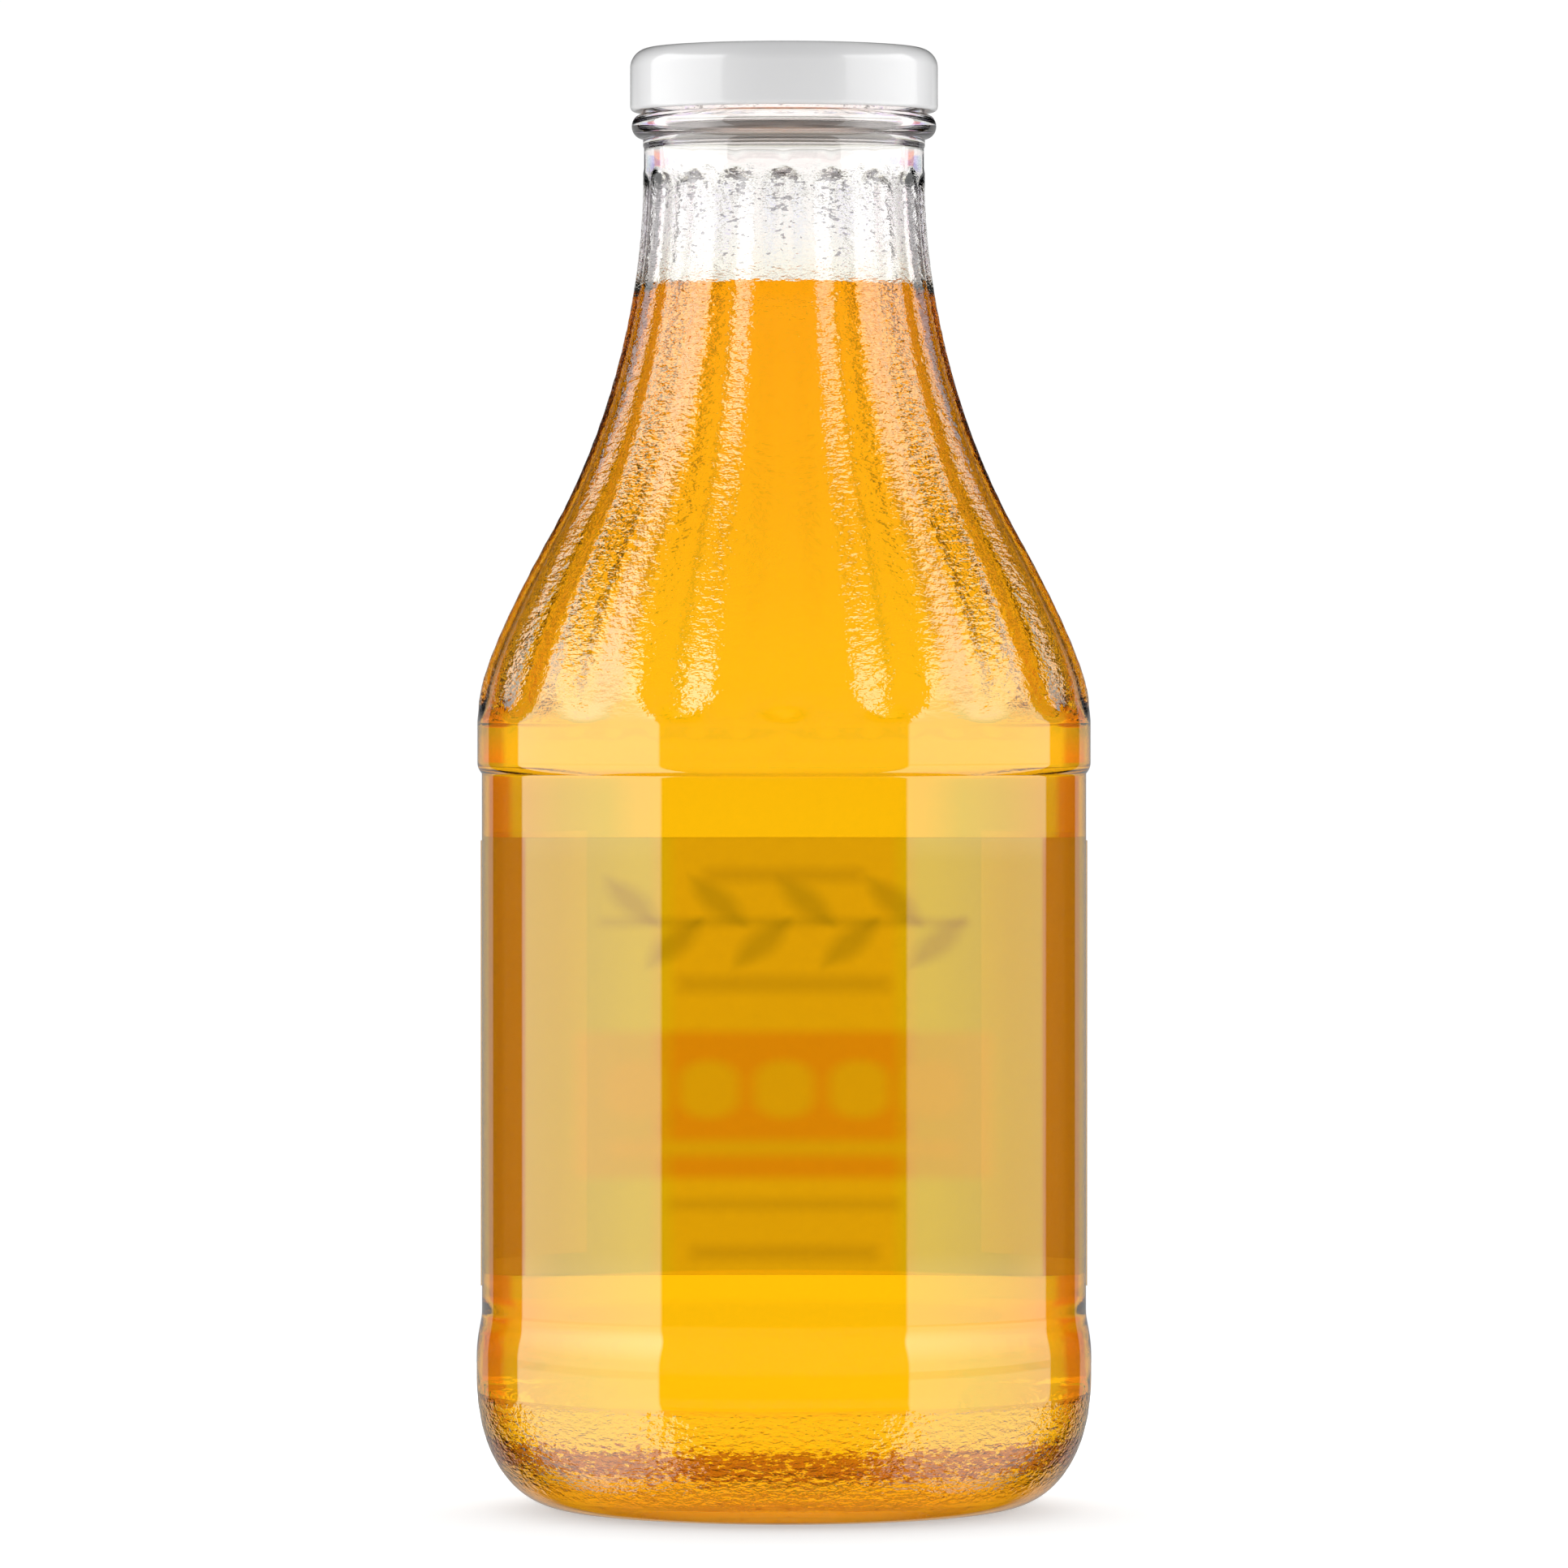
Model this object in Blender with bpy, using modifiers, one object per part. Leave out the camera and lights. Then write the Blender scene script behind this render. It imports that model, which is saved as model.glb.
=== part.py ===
"""One-litre glass juice bottle with a white twist-off cap, filled with clear amber juice.

Metres, +Z up. The origin is the middle of the foot, on the surface that the bottle stands on.
-Y is the side without a label, and the paper label wraps the far half, centred on +Y.
"""

import math

import bmesh
import bpy
import numpy as np
from mathutils import Vector
from mathutils.geometry import interpolate_bezier

MM = 0.001
GAP = 0.3 * MM
MERGE_DISTANCE = 0.02 * MM
FINE_SEGMENTS = 60

# Heights above the foot
CAP_TOP = 231.0 * MM
CAP_RIM = 221.0 * MM
MOUTH = 229.6 * MM
BEAD_HEIGHT = 218.65 * MM
NECK_STEP = 215.4 * MM
NECK_TOP = 215.2 * MM
BORE_FOOT = 213.2 * MM
NECK_FOOT = 212.0 * MM
FLUTE_TOP = 211.6 * MM
SHOULDER_TOP = 211.2 * MM
JUICE_LEVEL = 193.2 * MM
SHOULDER_BEND = 154.3 * MM
SHOULDER_FOOT = 127.0 * MM
FLUTE_FOOT = 124.4 * MM
BAND_TOP = 124.6 * MM
BAND_FOOT = 118.0 * MM
PANEL_TOP = 116.3 * MM
PANEL_FOOT = 31.4 * MM
STEP_OUT_FOOT = 23.8 * MM
HEEL_TOP = 21.4 * MM

# Radii of the glass
FINISH_RADIUS = 22.3 * MM
NECK_RADIUS = 22.15 * MM
BORE_RADIUS = 18.9 * MM
BEND_RADIUS = 36.9 * MM
FOOT_RADIUS = 48.35 * MM
BAND_RADIUS = 48.55 * MM
PANEL_RADIUS = 47.85 * MM
HEEL_RADIUS = 48.7 * MM
BEAD_PROUD = 1.8 * MM
BEAD_HALF_HEIGHT = 1.95 * MM
LIP_RADIUS = 1.2 * MM

# The S of the shoulder: its lean where it bends, and how far each handle reaches
SHOULDER_LEAN = math.radians(29)
NECK_HANDLE = 20.5 * MM
UPPER_BEND_HANDLE = 18.5 * MM
LOWER_BEND_HANDLE = 4.0 * MM
FOOT_HANDLE = 6.8 * MM

# The steps in and out of the panel: the upper one ends in a crease, which its handle leans into
STEP_IN_HANDLE = 0.8 * MM
CREASE_HANDLE = (0.3 * MM, 0.35 * MM)
STEP_OUT_HANDLES = (2.0 * MM, 4.0 * MM)

# Walls and base
SHOULDER_WALL = 3.4 * MM
BODY_WALL = 2.45 * MM
HEEL_WIDTH = 15.4 * MM
HEEL_POWER = 2.25
FOOT_RING_WIDTH = 3.0 * MM
FOOT_RING_EDGE = (1.0 * MM, 0.6 * MM)
PUSH_UP = 2.4 * MM
PUSH_UP_SHOULDER = (0.6, 0.7)
INNER_HEEL_WIDTH = 13.0 * MM
INNER_HEEL_HEIGHT = 16.4 * MM
INNER_HEEL_POWER = 2.2
INNER_BOTTOM = 3.8 * MM
INNER_CROWN = 5.6 * MM
CROWN_SHOULDER = (0.5, 0.7)

# Flutes round the shoulder and the neck
FLUTES = 18
FLUTE_DEPTH = 1.0 * MM
SCOOP_LENGTH = 2.0 * MM
FADE_LENGTH = 4.4 * MM

# Cap
CAP_RADIUS = 24.35 * MM
CAP_SHEET = 0.5 * MM
CAP_CORNER = 3.1 * MM
CURL_WIDTH = 1.4 * MM
CURL_HEIGHT = 0.8 * MM
PANEL_RECESS = 0.45 * MM
RECESS_RADIUS = 18.6 * MM
BUTTON_RADIUS = 10.5 * MM
BUTTON_TOP = 230.85 * MM
RECESS_SLOPE = 0.9 * MM

# Label
LABEL_TOP = 105.6 * MM
LABEL_FOOT = 34.9 * MM
LABEL_SHEET = 0.3 * MM
LABEL_HALF_WRAP = math.radians(86)

# Segments round the axis, and rings of points down the shoulder
GLASS_STEPS = 4 * FLUTES
JUICE_STEPS = 48
CAP_STEPS = 48
LABEL_STEPS = 36
OUTER_RINGS = 18
INNER_RINGS = 11

SHARP_EDGE = math.radians(32)


def bezier(start, start_handle, end_handle, end, segments):
    """Points (radius, height) of a cubic curve, both ends included."""
    knots = [Vector((r, z, 0.0)) for r, z in (start, start_handle, end_handle, end)]
    return [(p.x, p.y) for p in interpolate_bezier(*knots, segments + 1)]


def arc(centre, radii, start, end, segments):
    """Points of an elliptical arc from start to end, in degrees from the outward direction."""
    angles = np.radians(np.linspace(start, end, segments + 1))
    return [(centre[0] + radii[0] * math.cos(a), centre[1] + radii[1] * math.sin(a)) for a in angles]


def joined(*stretches):
    """One outline from several, without the point that two neighbours share."""
    outline = []
    for point in (p for stretch in stretches for p in stretch):
        if not outline or math.dist(point, outline[-1]) > MERGE_DISTANCE:
            outline.append(point)
    return outline


def shoulder(rings):
    """The S from the neck down to the band, along the tops of the arrises, as two curves that
    meet at the bend. Its rings of points crowd together at both ends, where the flutes end."""
    lean_r, lean_z = math.sin(SHOULDER_LEAN), math.cos(SHOULDER_LEAN)
    bend = (BEND_RADIUS, SHOULDER_BEND)
    above = bezier(
        (FINISH_RADIUS, SHOULDER_TOP),
        (FINISH_RADIUS, SHOULDER_TOP - NECK_HANDLE),
        (bend[0] - UPPER_BEND_HANDLE * lean_r, bend[1] + UPPER_BEND_HANDLE * lean_z),
        bend,
        FINE_SEGMENTS,
    )
    below = bezier(
        bend,
        (bend[0] + LOWER_BEND_HANDLE * lean_r, bend[1] - LOWER_BEND_HANDLE * lean_z),
        (FOOT_RADIUS, SHOULDER_FOOT + FOOT_HANDLE),
        (FOOT_RADIUS, SHOULDER_FOOT),
        FINE_SEGMENTS,
    )
    radii, heights = np.array(joined(above, below, [(BAND_RADIUS, BAND_TOP)])).T
    eased = 0.5 + 0.5 * np.cos(np.linspace(0.0, math.pi, rings))
    chosen = BAND_TOP + (SHOULDER_TOP - BAND_TOP) * eased
    return list(zip(np.interp(chosen, heights[::-1], radii[::-1]), chosen))


def inset(outline, distance):
    """The outline moved towards the axis, square to its own direction."""
    points = np.array(outline)
    along = np.gradient(points, axis=0)
    along /= np.linalg.norm(along, axis=1, keepdims=True)
    inward = np.stack([along[:, 1], -along[:, 0]], axis=1)
    return [tuple(p) for p in points + distance * inward]


def superellipse(outer, width, height, power, segments):
    """A quarter of a superellipse, from its widest point down and in to its foot."""
    angles = np.linspace(0, math.pi / 2, segments + 1)
    across = width * np.abs(np.cos(angles)) ** (2 / power)
    down = height * np.sin(angles) ** (2 / power)
    return [(outer[0] - width + a, outer[1] - d) for a, d in zip(across, down)]


def bead(segments):
    """The transfer ring under the cap, half an ellipse standing proud of the neck."""
    return arc((FINISH_RADIUS, BEAD_HEIGHT), (BEAD_PROUD, BEAD_HALF_HEIGHT), 90, -90, segments)


def glass_outside():
    """Outer outline of the bottle, from the lip down to the middle of the base."""
    lip = (FINISH_RADIUS - LIP_RADIUS, MOUTH - LIP_RADIUS)
    ring_inner = HEEL_RADIUS - HEEL_WIDTH - FOOT_RING_WIDTH
    return joined(
        arc(lip, (LIP_RADIUS, LIP_RADIUS), 90, 0, 2),
        bead(6),
        [(FINISH_RADIUS, NECK_STEP), (NECK_RADIUS, NECK_TOP), (NECK_RADIUS, NECK_FOOT)],
        shoulder(OUTER_RINGS),
        bezier(
            (BAND_RADIUS, BAND_FOOT),
            (BAND_RADIUS, BAND_FOOT - STEP_IN_HANDLE),
            (PANEL_RADIUS + CREASE_HANDLE[0], PANEL_TOP + CREASE_HANDLE[1]),
            (PANEL_RADIUS, PANEL_TOP),
            3,
        ),
        bezier(
            (PANEL_RADIUS, PANEL_FOOT),
            (PANEL_RADIUS, PANEL_FOOT - STEP_OUT_HANDLES[0]),
            (HEEL_RADIUS, STEP_OUT_FOOT + STEP_OUT_HANDLES[1]),
            (HEEL_RADIUS, STEP_OUT_FOOT),
            3,
        ),
        superellipse((HEEL_RADIUS, HEEL_TOP), HEEL_WIDTH, HEEL_TOP, HEEL_POWER, 6),
        [(ring_inner, 0.0), (ring_inner - FOOT_RING_EDGE[0], FOOT_RING_EDGE[1])],
        [(ring_inner * PUSH_UP_SHOULDER[0], PUSH_UP * PUSH_UP_SHOULDER[1]), (0.0, PUSH_UP)],
    )


def glass_inside(offset=0.0):
    """Inner outline from the middle of the bottom up to the bore, moved in by offset."""
    bore = [(BORE_RADIUS - offset, BORE_FOOT)]
    wall = inset(shoulder(INNER_RINGS), SHOULDER_WALL + offset)
    body = (PANEL_RADIUS - BODY_WALL - offset, PANEL_TOP)
    heel = superellipse(
        (body[0], INNER_BOTTOM + INNER_HEEL_HEIGHT),
        INNER_HEEL_WIDTH - offset,
        INNER_HEEL_HEIGHT - offset,
        INNER_HEEL_POWER,
        5,
    )
    rise = (INNER_CROWN - INNER_BOTTOM) * CROWN_SHOULDER[1]
    crown = [(heel[-1][0] * CROWN_SHOULDER[0], INNER_BOTTOM + rise + offset)]
    middle = [(0.0, INNER_CROWN + offset)]
    return joined(bore, wall[1:], [body], heel, crown, middle)[::-1]


def glass_outline():
    """The whole wall in one line: up the inside, over the lip, down the outside."""
    lip_inner = (BORE_RADIUS + LIP_RADIUS, MOUTH - LIP_RADIUS)
    lip = arc(lip_inner, (LIP_RADIUS, LIP_RADIUS), 180, 90, 2)
    return joined(glass_inside(), lip, glass_outside())


def juice_outline():
    """The juice in the bottle, from the middle of its surface down to the middle of its bottom."""
    wall = np.array(glass_inside(GAP)[::-1])
    below = wall[wall[:, 1] < JUICE_LEVEL]
    edge = np.interp(JUICE_LEVEL, wall[::-1, 1], wall[::-1, 0])
    return joined([(0.0, JUICE_LEVEL), (edge, JUICE_LEVEL)], [tuple(p) for p in below])


def cap_outline():
    """The pressed steel cap: down the outside, round the curl, up the inside."""
    inner_radius = CAP_RADIUS - CAP_SHEET
    inner_corner = CAP_CORNER - CAP_SHEET
    corner = (CAP_RADIUS - CAP_CORNER, CAP_TOP - CAP_CORNER)
    recess_floor = CAP_TOP - PANEL_RECESS
    curl = (CAP_RADIUS - CURL_WIDTH / 2, CAP_RIM + CURL_HEIGHT)
    return joined(
        [(0.0, BUTTON_TOP), (BUTTON_RADIUS, BUTTON_TOP)],
        [(BUTTON_RADIUS + RECESS_SLOPE, recess_floor), (RECESS_RADIUS, recess_floor)],
        [(RECESS_RADIUS + RECESS_SLOPE, CAP_TOP)],
        arc(corner, (CAP_CORNER, CAP_CORNER), 90, 0, 5),
        arc(curl, (CURL_WIDTH / 2, CURL_HEIGHT), 0, -180, 4),
        [(inner_radius, CAP_RIM + 3 * CURL_HEIGHT)],
        arc(corner, (inner_corner, inner_corner), 0, 90, 2),
        [(0.0, CAP_TOP - CAP_SHEET - PANEL_RECESS)],
    )


def turned(outline, steps, angle=math.tau):
    """A mesh object turned from an outline of (radius, height) points about the Z axis."""
    mesh = bpy.data.meshes.new("outline")
    shape = bmesh.new()
    points = [shape.verts.new((r, 0.0, z)) for r, z in outline]
    for first, second in zip(points, points[1:]):
        shape.edges.new((first, second))
    shape.to_mesh(mesh)
    shape.free()
    turning = bpy.data.objects.new("turned", mesh)
    bpy.context.scene.collection.objects.link(turning)
    screw = turning.modifiers.new("turn", "SCREW")
    screw.axis = "Z"
    screw.angle = angle
    screw.steps = screw.render_steps = steps
    screw.use_merge_vertices = True
    screw.merge_threshold = MERGE_DISTANCE
    return turning


def applied(piece):
    """The piece's mesh with its modifiers worked in, on a new object in the same place."""
    graph = bpy.context.evaluated_depsgraph_get()
    mesh = bpy.data.meshes.new_from_object(piece.evaluated_get(graph))
    finished = bpy.data.objects.new("applied", mesh)
    finished.matrix_world = piece.matrix_world
    bpy.context.scene.collection.objects.link(finished)
    bpy.data.objects.remove(piece)
    return finished


def smoothstep(x):
    x = np.clip(x, 0.0, 1.0)
    return x * x * (3.0 - 2.0 * x)


def flute_depth(height, angle):
    """How deep the flutes are cut: a sine squared of half the flute count times the angle, which
    leaves rounded arrises. They start in a round scoop below the neck and run out on the band."""
    wave = np.abs(np.sin(FLUTES / 2 * angle))
    top = FLUTE_TOP - SCOOP_LENGTH * (1.0 - wave)
    foot = FLUTE_FOOT + FADE_LENGTH / 2 * (1.0 - wave)
    begins = smoothstep((top - height) / SCOOP_LENGTH)
    ends = smoothstep((height - foot) / FADE_LENGTH)
    return FLUTE_DEPTH * wave**2 * begins * ends


def cut_flutes(glass):
    """Moves the outer wall of the shoulder in by the depth of the flutes."""
    mesh = glass.data
    points = np.empty(len(mesh.vertices) * 3)
    mesh.vertices.foreach_get("co", points)
    points = points.reshape(-1, 3)
    radius = np.hypot(points[:, 0], points[:, 1])
    outline = np.array(shoulder(OUTER_RINGS))[::-1]
    arris = np.interp(points[:, 2], outline[:, 1], outline[:, 0])
    on_shoulder = (points[:, 2] > FLUTE_FOOT) & (points[:, 2] < FLUTE_TOP)
    cut = on_shoulder & (radius > arris - SHOULDER_WALL / 2)
    angle = np.arctan2(points[:, 1], points[:, 0])
    depth = flute_depth(points[:, 2], angle)
    scale = np.where(cut, 1.0 - depth / np.maximum(radius, MM), 1.0)
    points[:, :2] *= scale[:, None]
    mesh.vertices.foreach_set("co", points.ravel())
    mesh.update()


def material(name, colour, roughness, metallic=0.0, transmission=0.0, ior=1.45):
    finish = bpy.data.materials.new(name)
    finish.use_nodes = True
    shader = finish.node_tree.nodes["Principled BSDF"]
    shader.inputs["Base Color"].default_value = (*colour, 1.0)
    shader.inputs["Roughness"].default_value = roughness
    shader.inputs["Metallic"].default_value = metallic
    shader.inputs["Transmission Weight"].default_value = transmission
    shader.inputs["IOR"].default_value = ior
    return finish


def placed(piece, name, finish, collection):
    """Names a piece, gives it its material and puts it in the bottle's collection."""
    piece.name = piece.data.name = name
    piece.data.materials.clear()
    piece.data.materials.append(finish)
    piece.data.shade_smooth()
    piece.data.set_sharp_from_angle(angle=SHARP_EDGE)
    for holder in list(piece.users_collection):
        holder.objects.unlink(piece)
    collection.objects.link(piece)


def make_glass():
    glass = applied(turned(glass_outline(), GLASS_STEPS))
    cut_flutes(glass)
    return glass


def make_label():
    """Paper sheet round the far half of the label panel."""
    inner = PANEL_RADIUS + GAP
    sheet = turned([(inner, LABEL_TOP), (inner, LABEL_FOOT)], LABEL_STEPS, 2 * LABEL_HALF_WRAP)
    sheet.rotation_euler.z = math.pi / 2 - LABEL_HALF_WRAP
    thickness = sheet.modifiers.new("thickness", "SOLIDIFY")
    thickness.thickness = LABEL_SHEET
    thickness.offset = 1.0
    return applied(sheet)


def main():
    for leftover in list(bpy.data.objects):
        bpy.data.objects.remove(leftover)
    bottle = bpy.data.collections.new("juice_bottle")
    bpy.context.scene.collection.children.link(bottle)
    clear_glass = material("clear_glass", (0.96, 0.98, 0.96), 0.03, transmission=1.0, ior=1.5)
    amber_juice = material("amber_juice", (0.98, 0.52, 0.02), 0.05, transmission=0.8, ior=1.35)
    white_enamel = material("white_enamel", (0.86, 0.86, 0.87), 0.3)
    label_paper = material("label_paper", (0.80, 0.76, 0.55), 0.7)
    placed(make_glass(), "glass_bottle", clear_glass, bottle)
    placed(applied(turned(juice_outline(), JUICE_STEPS)), "juice", amber_juice, bottle)
    placed(applied(turned(cap_outline(), CAP_STEPS)), "cap", white_enamel, bottle)
    placed(make_label(), "label", label_paper, bottle)


main()
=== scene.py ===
# %% [markdown]
# # A litre of amber juice in a fluted glass bottle
# The bottle is clear pressed glass with a white twist-off cap and a paper label round its far half.
# What a camera sees of such a bottle is mostly its surroundings, bent by glass and juice, so the
# surfaces have to be exact and the studio round them is as much a part of the look as the finishes.
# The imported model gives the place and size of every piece. Here each piece is worked out again as
# a smooth surface, and gets a finish made of nodes.

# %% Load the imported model
import math

import bpy
import numpy as np
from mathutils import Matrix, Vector


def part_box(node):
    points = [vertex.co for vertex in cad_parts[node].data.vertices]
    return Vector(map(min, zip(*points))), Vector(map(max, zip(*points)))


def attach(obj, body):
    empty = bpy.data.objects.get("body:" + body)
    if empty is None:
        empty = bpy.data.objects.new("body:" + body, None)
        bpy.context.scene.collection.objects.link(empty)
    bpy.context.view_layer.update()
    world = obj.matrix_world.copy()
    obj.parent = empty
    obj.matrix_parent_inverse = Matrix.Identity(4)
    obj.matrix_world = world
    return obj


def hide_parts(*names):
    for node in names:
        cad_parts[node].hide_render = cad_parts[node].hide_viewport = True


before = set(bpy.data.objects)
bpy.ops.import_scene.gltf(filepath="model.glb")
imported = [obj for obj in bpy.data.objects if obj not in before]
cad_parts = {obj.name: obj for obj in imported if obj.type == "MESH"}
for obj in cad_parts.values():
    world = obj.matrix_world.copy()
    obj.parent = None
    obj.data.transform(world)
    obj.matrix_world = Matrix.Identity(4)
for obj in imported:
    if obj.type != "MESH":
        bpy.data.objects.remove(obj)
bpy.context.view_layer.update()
print("nodes:", sorted(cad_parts))

# %% [markdown]
# Every measure below is in metres, written as a number of millimetres. The heights and radii that
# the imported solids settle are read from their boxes: the cap's top and rim, the label's edges, the
# juice's level, and the widest radius, which is that of the heel. The rest of the wall's outline
# runs between them.

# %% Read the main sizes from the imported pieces
MM = 0.001
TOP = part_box("cap")[1].z
CAP_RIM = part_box("cap")[0].z
CAP_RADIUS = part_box("cap")[1].x
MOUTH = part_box("glass_bottle")[1].z
HEEL_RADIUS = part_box("glass_bottle")[1].x
JUICE_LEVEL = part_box("juice")[1].z
LABEL_FOOT, LABEL_TOP = (corner.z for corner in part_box("label"))
print("heights in mm:", [round(v / MM, 1) for v in (LABEL_FOOT, LABEL_TOP, JUICE_LEVEL, MOUTH, TOP)])

# %% [markdown]
# A turned piece starts as an outline: points of radius and height. Straight stretches need two
# points, bends are cubic curves, and round edges are arcs. A curve's points crowd where it is slow,
# so the long ones are walked again at an even step. That keeps the facets of the glass the same
# size everywhere, which matters because light shows up every uneven facet in clear glass.

# %% Curves for the outlines
TOUCHING = 0.01 * MM


def bezier(start, start_handle, end_handle, end, count):
    """A cubic curve: each point is the four knots weighted by (1-t)^3, 3(1-t)^2 t, 3(1-t)t^2, t^3."""
    t = np.linspace(0.0, 1.0, count + 1)[:, None]
    knots = [np.array(knot) for knot in (start, start_handle, end_handle, end)]
    weights = ((1 - t) ** 3, 3 * (1 - t) ** 2 * t, 3 * (1 - t) * t**2, t**3)
    return sum(weight * knot for weight, knot in zip(weights, knots))


def arc(centre, radii, start, end, count):
    """An elliptical arc: centre + (a cos angle, b sin angle), in degrees from the outward side."""
    angle = np.radians(np.linspace(start, end, count + 1))
    return np.stack([centre[0] + radii[0] * np.cos(angle), centre[1] + radii[1] * np.sin(angle)], 1)


def superellipse(outer, width, height, power, count):
    """A quarter turn: in by width (1 - cos^(2/p)) while it goes down by height sin^(2/p)."""
    angle = np.linspace(0.0, math.pi / 2, count + 1)
    across = width * np.abs(np.cos(angle)) ** (2 / power)
    down = height * np.sin(angle) ** (2 / power)
    return np.stack([outer[0] - width + across, outer[1] - down], 1)


def evenly(points, spacing):
    """The same path walked at an even step: its two coordinates read off against its length."""
    steps = np.linalg.norm(np.diff(points, axis=0), axis=1)
    walked = np.concatenate([[0.0], np.cumsum(steps)])
    count = max(2, round(walked[-1] / spacing) + 1)
    at = np.linspace(0.0, walked[-1], count)
    return np.stack([np.interp(at, walked, points[:, 0]), np.interp(at, walked, points[:, 1])], 1)


def joined(*stretches):
    """One outline from several stretches, without the point that two neighbours share."""
    points = np.concatenate([np.array(stretch, float) for stretch in stretches])
    gaps = np.linalg.norm(np.diff(points, axis=0), axis=1)
    return points[np.concatenate([[True], gaps > TOUCHING])]


print("a quarter of a circle in two steps:", arc((0.0, 0.0), (1.0, 1.0), 0, 90, count=2).round(2).tolist())

# %% [markdown]
# Turning an outline about the Z axis makes a grid: one ring of points for each outline point. A Screw
# modifier could do it, but the flutes have to change the radius from point to point, and on a grid
# of numbers that is one subtraction. The grid's ends are closed with a fan of triangles where the
# outline starts or stops on the axis. The outline runs so that its outer side is on the left, which
# turns every face outwards.


# %% Turn an outline into a mesh
def turned(name, outline, columns, shaping=None):
    """Point (i, j) is (r_i cos a_j, r_i sin a_j, z_i), with a_j spread evenly round the axis.
    shaping(radius, height, angle) gives new radii for the whole grid."""
    angle = np.linspace(0.0, math.tau, columns, endpoint=False)[None, :]
    radius = np.repeat(outline[:, :1], columns, 1)
    height = np.repeat(outline[:, 1:], columns, 1)
    if shaping is not None:
        radius = shaping(radius, height, angle)
    grid = np.stack([radius * np.cos(angle), radius * np.sin(angle), height], 2)
    starts = outline[0, 0] < TOUCHING
    ends = outline[-1, 0] < TOUCHING
    rings = grid[int(starts) : len(grid) - int(ends)]
    ids = np.arange(rings.shape[0] * columns).reshape(-1, columns)
    turn = np.roll(ids, -1, axis=1)
    quads = np.stack([ids[:-1], ids[1:], turn[1:], turn[:-1]], 2).reshape(-1, 4).tolist()
    points = [rings.reshape(-1, 3)]
    if starts:
        pole = np.full(columns, ids.size)
        quads += np.stack([pole, ids[0], turn[0]], 1).tolist()
        points.append([(0.0, 0.0, outline[0, 1])])
    if ends:
        pole = np.full(columns, ids.size + int(starts))
        quads += np.stack([ids[-1], pole, turn[-1]], 1).tolist()
        points.append([(0.0, 0.0, outline[-1, 1])])
    return meshed(name, np.concatenate(points), quads)


def meshed(name, points, faces):
    """A smooth shaded object at the origin, from an array of points and lists of their numbers."""
    mesh = bpy.data.meshes.new(name)
    mesh.from_pydata(points.tolist(), [], faces)
    mesh.validate()
    mesh.shade_smooth()
    piece = bpy.data.objects.new(name, mesh)
    bpy.context.scene.collection.objects.link(piece)
    print(f"{name}: {len(points)} points, {sum(len(f) - 2 for f in faces)} triangles")
    return piece


# %% [markdown]
# The shoulder is an S: it leaves the neck upright, leans out, and comes upright again above the
# band. Two cubic curves that meet where it bends give that line. It runs along the tops of the
# ridges between the flutes, and the flutes are pressed into it afterwards.

# %% The shoulder's line
SHOULDER_TOP = 211.2 * MM
SHOULDER_FOOT = 127.0 * MM
FINISH_RADIUS = 22.3 * MM
FOOT_RADIUS = 48.35 * MM
BAND_RADIUS = 48.55 * MM
BAND_TOP = 124.6 * MM
BEND = (36.9 * MM, 154.3 * MM)
LEAN = math.radians(29)
NECK_HANDLE = 20.5 * MM
ABOVE_BEND = 18.5 * MM
BELOW_BEND = 4.0 * MM
FOOT_HANDLE = 6.8 * MM
SHOULDER_POINTS = 80
SHOULDER_STEP = 0.62 * MM


def shoulder(spacing):
    """Neck to bend, bend to foot, each a cubic curve, and the short run down to the band."""
    lean = np.array([math.sin(LEAN), -math.cos(LEAN)])
    bend = np.array(BEND)
    neck = (FINISH_RADIUS, SHOULDER_TOP)
    below_neck = (FINISH_RADIUS, SHOULDER_TOP - NECK_HANDLE)
    foot = (FOOT_RADIUS, SHOULDER_FOOT)
    above_foot = (FOOT_RADIUS, SHOULDER_FOOT + FOOT_HANDLE)
    above = bezier(neck, below_neck, bend - ABOVE_BEND * lean, bend, SHOULDER_POINTS)
    below = bezier(bend, bend + BELOW_BEND * lean, above_foot, foot, SHOULDER_POINTS)
    return evenly(joined(above, below, [(BAND_RADIUS, BAND_TOP)]), spacing)


print("rows down the shoulder:", len(shoulder(SHOULDER_STEP)))

# %% [markdown]
# The outside of the bottle, from the lip down: the finish that the cap holds, the transfer ring, a
# small step to the neck, the shoulder, the band, a step in to the set-back panel that protects the
# label, a step out to the heel, and the heel itself, a superellipse that turns in to a narrow foot
# ring. Inside the ring the base is pushed up so that the bottle can't rock. A point close beside
# each end of a straight stretch keeps the smooth shading of the bend out of it.

# %% The finish under the cap
LIP = 1.2 * MM
TRANSFER_RING = 218.65 * MM
RING_RADII = (1.8 * MM, 1.95 * MM)
NECK_RADIUS = 22.15 * MM
NECK_STEP = 215.4 * MM
NECK_STEP_EDGE = 0.15 * MM
NECK_STEP_TAPER = 0.04 * MM
NECK_STEP_HEIGHT = 0.2 * MM
NECK_FOOT = SHOULDER_TOP + 0.8 * MM
BESIDE = 0.3 * MM


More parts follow.
